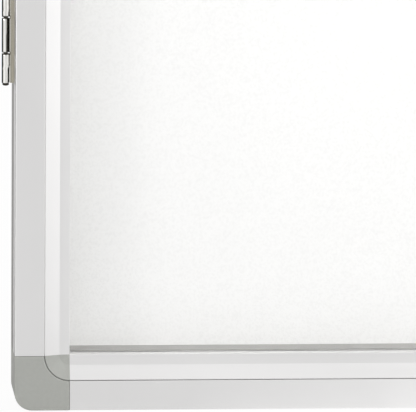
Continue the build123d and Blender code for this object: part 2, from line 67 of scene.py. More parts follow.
LOG = logging.getLogger("bulletin_board")
MM = 0.001
HALF_WIDTH = 305.0 * MM
HALF_HEIGHT = 457.0 * MM
JOINT_ALONG = 54.0 * MM
NOISE_MIDDLE = (0.3, 0.7)
WHITE = (1.0, 1.0, 1.0)
NEAR = 1e-6
UP = Vector((0.0, 0.0, 1.0))
TO_WALL = Vector((0.0, 1.0, 0.0))
TO_VIEWER = -TO_WALL


class Run(Enum):
    """Direction in which a profile was drawn."""

    LEVEL = (1.0, 0.0, 0.0)
    UPRIGHT = (0.0, 0.0, 1.0)


class Body(Enum):
    """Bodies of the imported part."""

    CASE = "case"
    DOOR = "door"
    PLUG = "lock_plug"


class Slot(Enum):
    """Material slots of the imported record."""

    ALUMINIUM = "anodised_aluminium"
    NICKEL = "nickel"
    ZINC = "zinc_steel"


@dataclass(frozen=True)
class Grain:
    """Noise on an object: repeats per metre along X, Y and Z, finer layers and their strength."""

    scale: Triple
    detail: float
    rough: float = 0.5


class NodeTree:
    """Small helper that adds shader nodes to a tree."""

    def __init__(self, tree: bpy.types.NodeTree) -> None:
        """Wrap a tree.

        Args:
            tree: Tree to add to.
        """
        self.tree = tree

    def feed(self, target: Socket, source: Feed) -> None:
        """Give an input its value.

        Args:
            target: Input socket.
            source: Output socket to link, or a plain number, vector or colour.
        """
        if isinstance(source, bpy.types.NodeSocket):
            self.tree.links.new(source, target)
        else:
            target.default_value = (*source, 1.0) if target.type == "RGBA" else source

    def add(self, kind: str, *sources: Feed, **settings: object) -> bpy.types.Node:
        """Add a node, set its properties and feed its inputs.

        Args:
            kind: Type of the node.
            *sources: What feeds its first inputs, in order.
            **settings: Properties, or inputs by their name with underscores for spaces.

        Returns:
            The new node.
        """
        node = self.tree.nodes.new(kind)
        for key, value in settings.items():
            if hasattr(node, key):
                setattr(node, key, value)
            else:
                self.feed(node.inputs[key.replace("_", " ")], value)
        for target, source in zip(node.inputs, sources):
            self.feed(target, source)
        return node

    def math(self, operation: str, first: Feed, second: Feed = 0.0) -> Socket:
        """Arithmetic on one or two values."""
        return self.add("ShaderNodeMath", first, second, operation=operation).outputs["Value"]

    def vector(self, operation: str, first: Feed,
               second: Feed = (0.0, 0.0, 0.0)) -> bpy.types.NodeOutputs:
        """Arithmetic on one or two vectors. Gives the node's outputs."""
        return self.add("ShaderNodeVectorMath", first, second, operation=operation).outputs

    def ramp(self, value: Socket, source: Pair, result: Pair = (0.0, 1.0),
             kind: str = "LINEAR") -> Socket:
        """Map a value from one range to another, and hold it beyond the ends.

        Args:
            value: Value to map.
            source: Its range.
            result: Range of the result.
            kind: Course between the ends.

        Returns:
            The mapped value.
        """
        node = self.add("ShaderNodeMapRange", value, *source, *result, interpolation_type=kind)
        return node.outputs["Result"]

    def place(self, scale: Triple = (1.0, 1.0, 1.0)) -> Socket:
        """Object coordinates, with some pattern repeats per metre along X, Y and Z."""
        where = self.add("ShaderNodeTexCoord").outputs["Object"]
        return self.add("ShaderNodeMapping", where, Scale=scale).outputs["Vector"]

    def noise(self, grain: Grain) -> Socket:
        """Noise over object coordinates."""
        return self.add("ShaderNodeTexNoise", self.place(grain.scale), Scale=1.0,
                        Detail=grain.detail, Roughness=grain.rough).outputs["Fac"]

    def blend(self, amount: Socket, first: Feed, second: Feed) -> Socket:
        """Mix two colours.

        Args:
            amount: Share of the second colour.
            first: Colour at 0.
            second: Colour at 1.

        Returns:
            The mixed colour.
        """
        node = self.add("ShaderNodeMix", amount, data_type="RGBA")
        self.feed(node.inputs[6], first)
        self.feed(node.inputs[7], second)
        return node.outputs[2]

    def bump(self, height: Socket, depth: float, strength: float = 1.0) -> Socket:
        """Relief of some depth in metres where the height goes from 0 to 1. Gives the normal."""
        return self.add("ShaderNodeBump", Height=height, Distance=depth,
                        Strength=strength).outputs["Normal"]


class MaterialNodes(NodeTree):
    """Nodes of one material, with a Principled shader on its output."""

    def __init__(self, name: str) -> None:
        """Start the material.

        Args:
            name: Name of the new material.
        """
        self.material = bpy.data.materials.new(name)
        self.material.use_nodes = True
        super().__init__(self.material.node_tree)
        self.shader = self.tree.nodes["Principled BSDF"]

    def finish(self, **inputs: Feed) -> None:
        """Feed the Principled shader.

        Args:
            **inputs: What feeds its inputs, by their name with underscores for spaces.
        """
        for key, value in inputs.items():
            self.feed(self.shader.inputs[key.replace("_", " ")], value)

    def show(self, amount: Socket, other: bpy.types.Node) -> None:
        """Put a mix of the Principled shader and another one on the output.

        Args:
            amount: Share of the other shader.
            other: Node of the other shader.
        """
        both = self.add("ShaderNodeMixShader", amount, self.shader.outputs["BSDF"],
                        other.outputs[0])
        self.feed(self.tree.nodes["Material Output"].inputs["Surface"], both.outputs["Shader"])


def shades(colour: Colour, factors: Pair) -> Tuple[Colour, Colour]:
    """Scale a colour's brightness by each of two factors, at most to white."""
    return tuple(tuple(min(1.0, channel * factor) for channel in colour) for factor in factors)


@dataclass(frozen=True)
class Recipe:
    """Make-up of a grained finish: its colours, and the noises of colour, shine and relief."""

    colours: Tuple[Colour, Colour]
    mottle: Grain
    shine: Grain
    relief: Grain
    roughness: Pair
    depth: float
    strength: float = 1.0
    metallic: float = 0.0


class Finish:
    """Look of one material."""

    def build(self, name: str) -> Material:
        """Make the material.

        Args:
            name: Name of the material.

        Returns:
            The material.
        """
        nodes = MaterialNodes(name)
        self.paint(nodes)
        return nodes.material

    def paint(self, nodes: MaterialNodes) -> None:
        """Follow the recipe.

        Args:
            nodes: Nodes of the material.
        """
        recipe = self.recipe()
        mottle = nodes.ramp(nodes.noise(recipe.mottle), NOISE_MIDDLE)
        shine = nodes.ramp(nodes.noise(recipe.shine), NOISE_MIDDLE, recipe.roughness)
        relief = nodes.bump(nodes.noise(recipe.relief), recipe.depth, recipe.strength)
        nodes.finish(Base_Color=nodes.blend(mottle, *recipe.colours), Roughness=shine,
                     Normal=relief, Metallic=recipe.metallic)

    def recipe(self) -> Recipe:
        """Make-up of the finish, if it is a grained one."""
        raise NotImplementedError


@dataclass(frozen=True)
class SatinExtrusion(Finish):
    """Satin anodised aluminium with fine die lines along the profile."""

    run: Run
    colour: Colour
    roughness: float
    across: float = 2600.0
    along: float = 3.0
    cloud: Grain = Grain((9.0,) * 3, 3.0)
    tones: Pair = (0.975, 1.02)
    line_depth: float = 6e-6

    def recipe(self) -> Recipe:
        """Die lines in the shine and the relief, and a faint cloud in the colour.

        Returns:
            The make-up.
        """
        scale = [self.across * (1 - axis) + self.along * axis for axis in self.run.value]
        lines = Grain(tuple(scale), 2.0)
        return Recipe(shades(self.colour, self.tones), self.cloud, lines, lines,
                      (self.roughness - 0.04, self.roughness + 0.05), self.line_depth, metallic=1.0)


@dataclass(frozen=True)
class MouldedPlastic(Finish):
    """Fine-grained moulded plastic with a faint mottle."""

    colour: Colour
    tones: Pair = (0.97, 1.03)
    roughness: Pair = (0.45, 0.56)
    mottle: Grain = Grain((420.0,) * 3, 3.0)
    grain: Grain = Grain((1500.0,) * 3, 2.0)
    grain_depth: float = 2.5e-5
    grain_strength: float = 0.6

    def recipe(self) -> Recipe:
        """Mottle in the colour and the shine, and grain in the relief."""
        return Recipe(shades(self.colour, self.tones), self.mottle, self.mottle, self.grain,
                      self.roughness, self.grain_depth, self.grain_strength)


@dataclass(frozen=True)
class PlatedMetal(Finish):
    """Plated steel: a bright or dull metal with fine rubbing marks and a faint tint."""

    colour: Colour
    tint: Colour
    roughness: float
    stain: Grain = Grain((170.0,) * 3, 3.0)
    marks: Grain = Grain((900.0, 900.0, 160.0), 3.0)
    mark_depth: float = 4e-6

    def recipe(self) -> Recipe:
        """Stains in the colour and the shine, and rubbing marks in the relief."""
        return Recipe((self.colour, self.tint), self.stain, self.stain, self.marks,
                      (self.roughness * 0.8, self.roughness * 1.35), self.mark_depth, metallic=1.0)


@dataclass(frozen=True)
class WhiteLacquer(Finish):
    """Smooth white lacquer on steel, with the slight ripple of a sprayed coat."""

    colour: Colour
    tones: Pair = (0.99, 1.0)
    roughness: Pair = (0.25, 0.31)
    cloud: Grain = Grain((7.0,) * 3, 2.0)
    ripple: Grain = Grain((700.0,) * 3, 2.0)
    ripple_depth: float = 3e-7
    ripple_strength: float = 0.5

    def recipe(self) -> Recipe:
        """Faint cloud in the colour, and the coat's ripple in the shine and the relief."""
        return Recipe(shades(self.colour, self.tones), self.cloud, self.ripple, self.ripple,
                      self.roughness, self.ripple_depth, self.ripple_strength)


@dataclass(frozen=True)
class HingeNickel(Finish):
    """Nickel plate: bright on the barrel, near black as painted shade behind it and at its gaps,
    and a darker tan copy on the leaves as painted reflection.
    """

    bright: Colour
    # Painted reflection: the leaves take the darker tan colour below, for the darker things they
    # mirror.
    leaf_painted_reflection: Colour
    # Painted shade: the near-black colour below stands for the shade behind the barrel and in the
    # gaps between knuckles.
    roll_painted_shade: Colour
    bright_tones: Pair = (0.72, 1.0)
    leaf_painted_reflection_tones: Pair = (0.78, 1.15)
    roll_painted_shade_tones: Pair = (0.6, 1.0)
    lines: Grain = Grain((1300.0, 1300.0, 30.0), 3.0, 0.6)
    line_depth: float = 5e-6
    stain: Grain = Grain((170.0,) * 3, 3.0)
    roughness: Pair = (0.07, 0.15)
    leaf_painted_reflection_border: Pair = (-307.9 * MM, -307.2 * MM)
    lean: Triple = (-0.35, 0.94, 0.0)
    roll_painted_shade_border: Pair = (81.1 * MM, 81.7 * MM)
    hinge_level: float = 200.0 * MM
    gap_level: float = 12.4 * MM
    gap_painted_shade_border: Pair = (0.8 * MM, 1.25 * MM)

    def paint(self, nodes: MaterialNodes) -> None:
        """Zone the plating by place, with fine lines along the pin: painted shade behind the barrel
        and at its gaps, painted reflection on the leaves.

        Args:
            nodes: Nodes of the material.
        """
        lines = nodes.noise(self.lines)
        streaks = nodes.ramp(lines, NOISE_MIDDLE)
        barrel = nodes.blend(streaks, *shades(self.bright, self.bright_tones))
        leaf = nodes.blend(streaks, *shades(self.leaf_painted_reflection, self.leaf_painted_reflection_tones))
        # Near-black painted shade for the back of the barrel and the gaps between knuckles.
        roll_painted_shade_colour = nodes.blend(streaks, *shades(self.roll_painted_shade, self.roll_painted_shade_tones))
        where = nodes.place()
        apart = nodes.add("ShaderNodeSeparateXYZ", where).outputs
        # Painted shade mask: the half of the barrel behind the axis.
        behind = nodes.ramp(nodes.vector("DOT_PRODUCT", where, self.lean)["Value"], self.roll_painted_shade_border)
        # Painted shade mask: a band about each gap between knuckles, with the rest unshaded.
        from_gap = apart["Z"]
        for level in (0.0, self.hinge_level, self.gap_level):
            from_gap = nodes.math("ABSOLUTE", nodes.math("SUBTRACT", from_gap, level))
        unshaded = nodes.ramp(from_gap, self.gap_painted_shade_border)
        rolled = nodes.blend(unshaded, roll_painted_shade_colour, nodes.blend(behind, barrel, roll_painted_shade_colour))
        # Leaves take the darker tan copy of the nickel: painted reflection of the darker things
        # they mirror.
        colour = nodes.blend(nodes.ramp(apart["X"], self.leaf_painted_reflection_border), rolled, leaf)
        shine = nodes.ramp(nodes.noise(self.stain), NOISE_MIDDLE, self.roughness)
        nodes.finish(Base_Color=colour, Roughness=shine, Metallic=1.0,
                     Normal=nodes.bump(lines, self.line_depth))


@dataclass(frozen=True)
class PressedFibre(Finish):
    """Brown pressed fibre with short strands."""

    colour: Colour
    tones: Pair = (0.7, 1.25)
    strands: Grain = Grain((350.0, 2400.0, 900.0), 5.0, 0.65)
    strand_depth: float = 8e-5

    def paint(self, nodes: MaterialNodes) -> None:
        """Lay the strands.

        Args:
            nodes: Nodes of the material.
        """
        strands = nodes.noise(self.strands)
        tone = nodes.ramp(strands, NOISE_MIDDLE)
        nodes.finish(Base_Color=nodes.blend(tone, *shades(self.colour, self.tones)),
                     Normal=nodes.bump(strands, self.strand_depth), Roughness=0.85)


@dataclass(frozen=True)
class GalvanisedSheet(Finish):
    """Zinc-coated sheet with crystal spangle."""

    colour: Colour
    crystals: float = 110.0
    tones: Pair = (0.93, 1.05)
    roughness: Pair = (0.38, 0.48)
    streaks: Grain = Grain((90.0, 90.0, 1500.0), 3.0)
    streak_depth: float = 6e-6

    def paint(self, nodes: MaterialNodes) -> None:
        """Grow the crystals on the sheet's face, each with its own tone and shine.

        Args:
            nodes: Nodes of the material.
        """
        crystals = nodes.add("ShaderNodeTexVoronoi", nodes.place((1.0, 0.0, 1.0)),
                             Scale=self.crystals, Randomness=1.0)
        tone = nodes.add("ShaderNodeSeparateColor", crystals.outputs["Color"]).outputs
        nodes.finish(Base_Color=nodes.blend(tone["Red"], *shades(self.colour, self.tones)),
                     Roughness=nodes.ramp(tone["Green"], NOISE_MIDDLE, self.roughness),
                     Normal=nodes.bump(nodes.noise(self.streaks), self.streak_depth), Metallic=1.0)


@dataclass(frozen=True)
class FoamRubber(Finish):
    """Closed-cell foam strip with small open pores on its skin."""

    colour: Colour
    pores: float = 1600.0
    tones: Pair = (0.75, 1.15)
    pore_depth: float = 1.2e-4
    pore_strength: float = 0.8

    def paint(self, nodes: MaterialNodes) -> None:
        """Open the pores.

        Args:
            nodes: Nodes of the material.
        """
        cells = nodes.add("ShaderNodeTexVoronoi", nodes.place(), Scale=self.pores)
        pores = cells.outputs["Distance"]
        tone = nodes.ramp(pores, NOISE_MIDDLE)
        nodes.finish(Base_Color=nodes.blend(tone, *shades(self.colour, self.tones)),
                     Normal=nodes.bump(pores, self.pore_depth, self.pore_strength), Roughness=0.9)


@dataclass(frozen=True)
class ClearAcrylic(Finish):
    """Clear pane: lamps shine through it, and it mirrors the room faintly."""

    colour: Colour
    index: float = 1.49
    ripple: Grain = Grain((14.0,) * 3, 1.0)
    ripple_depth: float = 1.5e-5
    ripple_strength: float = 0.4
    haze: Grain = Grain((60.0,) * 3, 2.0)
    roughness: Pair = (0.0, 0.03)

    def paint(self, nodes: MaterialNodes) -> None:
        """Make it clear, with a faint haze and ripple, and let shadow rays pass.

        Args:
            nodes: Nodes of the material.
        """
        ripple = nodes.bump(nodes.noise(self.ripple), self.ripple_depth, self.ripple_strength)
        haze = nodes.ramp(nodes.noise(self.haze), NOISE_MIDDLE, self.roughness)
        nodes.finish(Base_Color=self.colour, Roughness=haze, Normal=ripple,
                     Transmission_Weight=1.0, IOR=self.index)
        path = nodes.add("ShaderNodeLightPath").outputs
        nodes.show(path["Is Shadow Ray"], nodes.add("ShaderNodeBsdfTransparent", self.colour))


class Finishes:
    """The materials of the board, made once and shared."""

    DOOR_SILVER: Colour = (0.888, 0.882, 0.878)
    # Painted shade: the case is the door's satin aluminium at half its brightness, for the shade on
    # its recessed ledge and side walls.
    CASE_SILVER_PAINTED_SHADE: Colour = (0.44, 0.435, 0.42)
    GREY: Colour = (0.368, 0.374, 0.35)

    def __init__(self) -> None:
        """Build every finish."""
        self.door_level = SatinExtrusion(
            Run.LEVEL, self.DOOR_SILVER, 0.32).build("door_satin_level")
        self.door_upright = SatinExtrusion(
            Run.UPRIGHT, self.DOOR_SILVER, 0.32).build("door_satin_upright")
        self.case_level = SatinExtrusion(Run.LEVEL, self.CASE_SILVER_PAINTED_SHADE, 0.5).build("case_satin_level")
        self.case_upright = SatinExtrusion(
            Run.UPRIGHT, self.CASE_SILVER_PAINTED_SHADE, 0.5).build("case_satin_upright")
        self.plastic = MouldedPlastic(self.GREY).build("corner_plastic")
        # Hinge nickel: bright barrel, darker tan leaves as painted reflection, near-black painted
        # shade behind the barrel and in its gaps.
        self.nickel = HingeNickel((0.96, 0.95, 0.92), (0.44, 0.415, 0.345),
                                  (0.055, 0.05, 0.042)).build("hinge_nickel")
        # Near-black pin steel: painted shade for the gaps between knuckles where the pin shows.
        self.pin_painted_shade = PlatedMetal((0.07, 0.065, 0.055), (0.045, 0.042, 0.036),
                                     0.25).build("pin_steel_painted_shade")
        self.lock_nickel = PlatedMetal(
            (0.80, 0.79, 0.76), (0.74, 0.72, 0.68), 0.16).build("lock_nickel")
        self.zinc = PlatedMetal((0.60, 0.615, 0.63), (0.56, 0.55, 0.50), 0.3).build("zinc_plate")
        self.acrylic = ClearAcrylic((0.992, 0.994, 0.992)).build("clear_pane")
        self.lacquer = WhiteLacquer((0.965, 0.96, 0.955)).build("panel_lacquer")
        self.fibre = PressedFibre((0.38, 0.27, 0.17)).build("panel_fibre")
        self.galvanised = GalvanisedSheet((0.60, 0.62, 0.63)).build("panel_spangle")
        self.foam = FoamRubber((0.62, 0.61, 0.59)).build("foam_strip")


@dataclass
class Assembly:
    """Part of the board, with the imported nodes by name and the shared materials."""

    nodes: Nodes
    finishes: Finishes

    def dress(self, material: Material, *starts: str) -> None:
        """Give every carried-over node with one of some names one finish.

        Args:
            material: Finish for them.
            *starts: Names of the nodes, or how they start.
        """
        for name in self.nodes:
            if name.startswith(starts):
                mesh = self.nodes[name].data
                mesh.materials.clear()
                mesh.materials.append(material)
                LOG.info("dressed %s with %s", name, material.name)


def mesh_of(bm: Shape, name: str) -> bpy.types.Mesh:
    """Turn a bmesh into a mesh, and free it."""
    mesh = bpy.data.meshes.new(name)
    bm.to_mesh(mesh)
    bm.free()
    return mesh


def linked(name: str, data: bpy.types.ID) -> bpy.types.Object:
    """Add an object with some data to the scene."""
    item = bpy.data.objects.new(name, data)
    bpy.context.scene.collection.objects.link(item)
    return item


def finished(bm: Shape, name: str, material: Material, body: Body,
             replaced: Sequence[str], smooth_angle: float = 32.0) -> None:
    """Turn a bmesh into a piece that rides on a body and stands for CAD nodes.

    Args:
        bm: Mesh in the frame of the part. It is freed.
        name: Name of the piece.
        material: Its finish.
        body: Body that it rides on.
        replaced: CAD nodes that it stands for.
        smooth_angle: Faces that meet at less than this are shaded as one surface, in degrees.
    """
    bmesh.ops.recalc_face_normals(bm, faces=bm.faces[:])
    mesh = mesh_of(bm, name)
    mesh.shade_smooth()
    mesh.set_sharp_from_angle(angle=math.radians(smooth_angle))
    mesh.materials.append(material)
    piece = linked(name, mesh)
    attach(piece, body.value)
    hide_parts(*replaced)
    LOG.info("built %s: %d faces", name, len(mesh.polygons))


def facing(place: Vector, direction: Vector, spin: float = 0.0) -> Matrix:
    """Matrix that stands local Z on a direction at a place.

    Args:
        place: Where the local origin goes.
        direction: Where local Z points.
        spin: Turn about local Z, in radians.

    Returns:
        The matrix.
    """
    turn = UP.rotation_difference(direction).to_matrix().to_4x4()
    return Matrix.Translation(place) @ turn @ Matrix.Rotation(spin, 4, "Z")


def turned(bm: Shape, profile: Sequence[Pair], matrix: Matrix, steps: int = 32) -> None:
    """Turn a profile about local Z.

    Args:
        bm: Mesh to add to.
        profile: Radius and height pairs from one pole to the other, in metres.
        matrix: Place of the turned shape.
        steps: Number of sides.
    """
    shape = bmesh.new()
    verts = [shape.verts.new((radius, 0.0, height)) for radius, height in profile]
    edges = [shape.edges.new(pair) for pair in zip(verts, verts[1:])]
    bmesh.ops.spin(shape, geom=verts + edges, cent=Vector(), axis=UP, dvec=Vector(), steps=steps,
                   angle=2 * math.pi, use_merge=True, use_normal_flip=False, use_duplicate=False)
    bmesh.ops.remove_doubles(shape, verts=shape.verts[:], dist=1e-7)
    bmesh.ops.transform(shape, matrix=matrix, verts=shape.verts[:])
    join(bm, shape)


def join(bm: Shape, shape: Shape) -> None:
    """Add a shape to a mesh, and free it.

    Args:
        bm: Mesh to add to.
        shape: Shape to add.
    """
    carrier = mesh_of(shape, "carrier")
    bm.from_mesh(carrier)
    bpy.data.meshes.remove(carrier)


def arc(centre: Pair, radius: float, start: float, end: float,
        steps: int) -> List[Pair]:
    """Points along an arc.

    Args:
        centre: Centre of the arc.
        radius: Its radius.
        start: First angle in degrees.
        end: Last angle in degrees.
        steps: Number of chords.

    Returns:
        The points, both ends among them.
    """
    angles = [math.radians(start + (end - start) * i / steps) for i in range(steps + 1)]
    return [(centre[0] + radius * math.cos(a), centre[1] + radius * math.sin(a)) for a in angles]


def loop(bm: Shape, corners: Sequence[Vector]) -> List[Edge]:
    """Closed loop of edges through some points.

    Args:
        bm: Mesh to add to.
        corners: Points in order.

    Returns:
        The edges.
    """
    verts = [bm.verts.new(corner) for corner in corners]
    return [bm.edges.new(pair) for pair in zip(verts, verts[1:] + verts[:1])]


def draw_out(bm: Shape, edges: Sequence[Edge], move: Vector,
             scale: Vector = Vector((1.0, 1.0, 1.0)), centre: Vector = Vector()) -> List[Edge]:
    """Draw a ring of edges out into a wall.

    Args:
        bm: Mesh to change.
        edges: Ring to draw out.
        move: How far the new ring moves.
        scale: Scale of the new ring about the centre.
        centre: Middle of the ring before it moves.

    Returns:
        The edges of the new ring.
    """
    made = bmesh.ops.extrude_edge_only(bm, edges=list(edges))["geom"]
    verts = new_verts(made)
    bmesh.ops.scale(bm, vec=scale, verts=verts, space=Matrix.Translation(-centre))
    bmesh.ops.translate(bm, vec=move, verts=verts)
    return [item for item in made if isinstance(item, Edge) and item.is_boundary]


def new_verts(made: Iterable[object]) -> List[Vert]:
    """Points among what an operator made."""
    return [item for item in made if isinstance(item, Vert)]


def ease(bm: Shape, edges: Sequence[Edge], offset: float, segments: int = 2) -> None:
    """Round some edges.

    Args:
        bm: Mesh to change.
        edges: Edges to round.
        offset: Width of the rounding in metres.
        segments: Facets across it.
    """
    bmesh.ops.bevel(bm, geom=list(edges), offset=offset, offset_type="OFFSET", segments=segments,
                    profile=0.5, affect="EDGES", material=-1, clamp_overlap=True)


@dataclass(frozen=True)
class CrossScrew:
    """Countersunk screw with a tapered cross recess."""

    length: float
    head_radius: float = 3.1 * MM
    head_land: float = 0.12 * MM
    head_depth: float = 1.2 * MM
    shank_radius: float = 1.5 * MM
    point: float = 1.0 * MM
    recess_span: float = 1.65 * MM
    recess_width: float = 0.42 * MM
    recess_depth: float = 0.85 * MM
    recess_taper: float = 0.5
    point_taper: float = 0.4
    turn_step: float = 0.83
    sides: int = 24

    def template(self) -> bpy.types.Mesh:
        """Build one screw with its head flush with local Z = 0 and facing +Z.

        Returns:
            The mesh of one screw.
        """
        bm = bmesh.new()
        bmesh.ops.create_circle(bm, cap_ends=False, radius=self.head_radius, segments=self.sides)
        rim_edges = bm.edges[:]
        span, half = self.recess_span, self.recess_width
        cross = []
        for quarter in range(4):
            turn = Matrix.Rotation(quarter * math.pi / 2, 3, "Z")
            cross += [turn @ Vector((x, y, 0.0))
                      for x, y in ((span, -half), (span, half), (half, half))]
        cross_edges = loop(bm, cross)
        bmesh.ops.triangle_fill(bm, use_beauty=True, edges=rim_edges + cross_edges)
        taper = Vector((self.recess_taper, self.recess_taper, 1.0))
        bottom = draw_out(bm, cross_edges, -self.recess_depth * UP, taper)
        bmesh.ops.contextual_create(bm, geom=bottom)
        shrink = self.shank_radius / self.head_radius
        edges = rim_edges
        for drop, scale in ((self.head_land, 1.0), (self.head_depth - self.head_land, shrink),
                            (self.length - self.head_depth - self.point, 1.0),
                            (self.point, self.point_taper)):
            edges = draw_out(bm, edges, -drop * UP, Vector((scale, scale, 1.0)))
        bmesh.ops.contextual_create(bm, geom=edges)
        return mesh_of(bm, "cross_screw")

    def build(self, node: str, places: Sequence[Vector], direction: Vector, material: Material,
              body: Body) -> None:
        """Set a screw in every place, each turned a little further, and replace the CAD screws.

        Args:
            node: Name of the CAD node of these screws.
            places: Middle of each head.
            direction: Where the heads face.
            material: Finish of the screws.
            body: Body that holds them.
        """
        template = self.template()
        bm = bmesh.new()
        for index, place in enumerate(places):
            shape = bmesh.new()
            shape.from_mesh(template)
            matrix = facing(place, direction, self.turn_step * index)
            bmesh.ops.transform(shape, matrix=matrix, verts=shape.verts[:])
            join(bm, shape)
        bpy.data.meshes.remove(template)
        finished(bm, f"cross_{node}", material, body, [node])


def joint_places(height: float, inset: float) -> List[Vector]:
    """Places of the eight screws that hold the rails and stiles on the corners.

    Args:
        height: Distance of the heads from the wall.
        inset: Distance from the outer side face.

    Returns:
        The places.
    """
    places = []
    for side_x in (-1, 1):
        for side_z in (-1, 1):
            for inset_x, inset_z in ((JOINT_ALONG, inset), (inset, JOINT_ALONG)):
                places.append(Vector((side_x * (HALF_WIDTH - inset_x), -height,
                                      side_z * (HALF_HEIGHT - inset_z))))
    return places


@dataclass
class CaseFrame(Assembly):
    """Fixed frame on the wall: four rails and stiles, moulded corners and the cam's keeper."""

    front: float = 27.2 * MM
    joint_inset: float = 19.0 * MM
    joint_screw: CrossScrew = CrossScrew(12.0 * MM)
    rivet_x: float = 289.85 * MM
    rivet_levels: Pair = (-24.0 * MM, 12.0 * MM)
    rivet_front: float = 28.0 * MM
    rivet_head: float = 2.6 * MM
    rivet_rise: float = 0.6 * MM
    rivet_brim: float = 0.15
    rivet_radius: float = 1.5 * MM
    rivet_length: float = 5.0 * MM
    rivet_point: float = 0.3 * MM
    rivet_taper: float = 0.8

    def build(self) -> None:
        """Dress the case, and set its screws and rivets."""
        looks = self.finishes
        self.dress(looks.case_level, "case_bottom_rail", "case_top_rail")
        self.dress(looks.case_upright, "case_hinge_stile", "case_lock_stile")
        self.dress(looks.plastic, "case_corner")
        self.dress(looks.zinc, "keeper_plate")
        self.joint_screw.build("case_joint_screws", joint_places(self.front, self.joint_inset),
                               TO_VIEWER, looks.zinc, Body.CASE)
        self.make_rivets()

    def make_rivets(self) -> None:
        """Turn the two domed rivets of the keeper plate."""
        head, rise = self.rivet_head, self.rivet_rise
        shank, length = self.rivet_radius, self.rivet_length
        dome = [(head * math.cos(a), rise * (self.rivet_brim + (1 - self.rivet_brim) * math.sin(a)))
                for a in (math.radians(15 * i) for i in range(6))]
        profile = [(0.0, -length), (shank * self.rivet_taper, -length),
                   (shank, self.rivet_point - length), (shank, 0.0), (head, 0.0), *dome,
                   (0.0, rise)]
        bm = bmesh.new()
        for level in self.rivet_levels:
            turned(bm, profile, facing(Vector((self.rivet_x, -self.rivet_front, level)), TO_VIEWER))
        finished(bm, "domed_keeper_rivets", self.finishes.zinc, Body.CASE,
                 ["keeper_rivets"])


@dataclass
class NoticePanel(Assembly):
    """White panel of three bonded layers."""

    def build(self) -> None:
        """Dress the three layers."""
        self.dress(self.finishes.lacquer, "panel_face_sheet")
        self.dress(self.finishes.fibre, "panel_core")
        self.dress(self.finishes.galvanised, "panel_back_sheet")


@dataclass
class GlazedDoor(Assembly):
    """Swinging door: satin rails, moulded corners, glazing beads and the clear pane."""

    back: float = 30.0 * MM
    joint_inset: float = 10.225 * MM
    joint_screw: CrossScrew = CrossScrew(12.0 * MM)
    bead_half: float = 419.0 * MM
    bead_crest: float = 0.76 * MM
    bead_lip: float = 0.25 * MM
    bead_facets: int = 12
    bead_bend: float = 11.0
    bead_section: Tuple[Pair, ...] = (
        (20.5, 50.0), (30.9, 45.5), (38.0, 44.2), (38.0, 35.6), (36.5, 35.6), (36.5, 42.7),
        (30.9, 44.0), (22.25, 47.0), (22.25, 35.6), (20.5, 35.6))

    def build(self) -> None:
        """Dress the door, form its upright beads and set its screws."""
        looks = self.finishes
        self.dress(looks.door_level, "door_bottom_rail", "door_top_rail", "glazing_bead_bottom",
                   "glazing_bead_top")
        self.dress(looks.door_upright, "door_hinge_stile", "door_lock_stile")
        self.dress(looks.plastic, "door_corner", "bead_corner")
        self.dress(looks.foam, "glazing_gasket", "dust_seal")
        self.dress(looks.acrylic, "door_pane")
        for side, way in (("left", 1.0), ("right", -1.0)):
            self.make_bead(side, way)
        self.joint_screw.build("door_joint_screws", joint_places(self.back, self.joint_inset),
                               TO_WALL, looks.zinc, Body.DOOR)

    def make_bead(self, side: str, way: float) -> None:
        """Form an upright glazing bead, close against its stile, with a soft crest and lip.

        Args:
            side: Which side it is on.
            way: 1 if inwards is to the right, -1 if it is to the left.
        """
        bm = bmesh.new()
        corners = [Vector((way * (inset * MM - HALF_WIDTH), -height * MM, -self.bead_half))
                   for inset, height in self.bead_section]
        bmesh.ops.contextual_create(bm, geom=loop(bm, corners))
        bmesh.ops.recalc_face_normals(bm, faces=bm.faces[:])
        made = bmesh.ops.extrude_face_region(bm, geom=bm.faces[:], use_keep_orig=True)["geom"]
        bmesh.ops.translate(bm, vec=2 * self.bead_half * UP, verts=new_verts(made))
        for corner, offset in ((corners[0], self.bead_crest), (corners[2], self.bead_lip)):
            ease(bm, [edge for edge in bm.edges
                      if all((vert.co.xy - corner.xy).length < NEAR for vert in edge.verts)],
                 offset, self.bead_facets)
        finished(bm, f"snapped_bead_{side}", self.finishes.door_upright, Body.DOOR,
                 [f"glazing_bead_{side}"], self.bead_bend)


@dataclass(frozen=True)
class Knuckle:
    """One rolled knuckle.

    Attributes:
        low: Where it starts along the pin, in metres.
        high: Where it ends along the pin, in metres.
        low_stop: Where its free end stops above level low down, in degrees.
        high_stop: Where it stops high up, in degrees.
        low_share: Share of its span that has the low stop.
        step_share: Share of its span between the two stops.
    """

    low: float
    high: float
    low_stop: float
    high_stop: float
    low_share: float
    step_share: float = 0.1


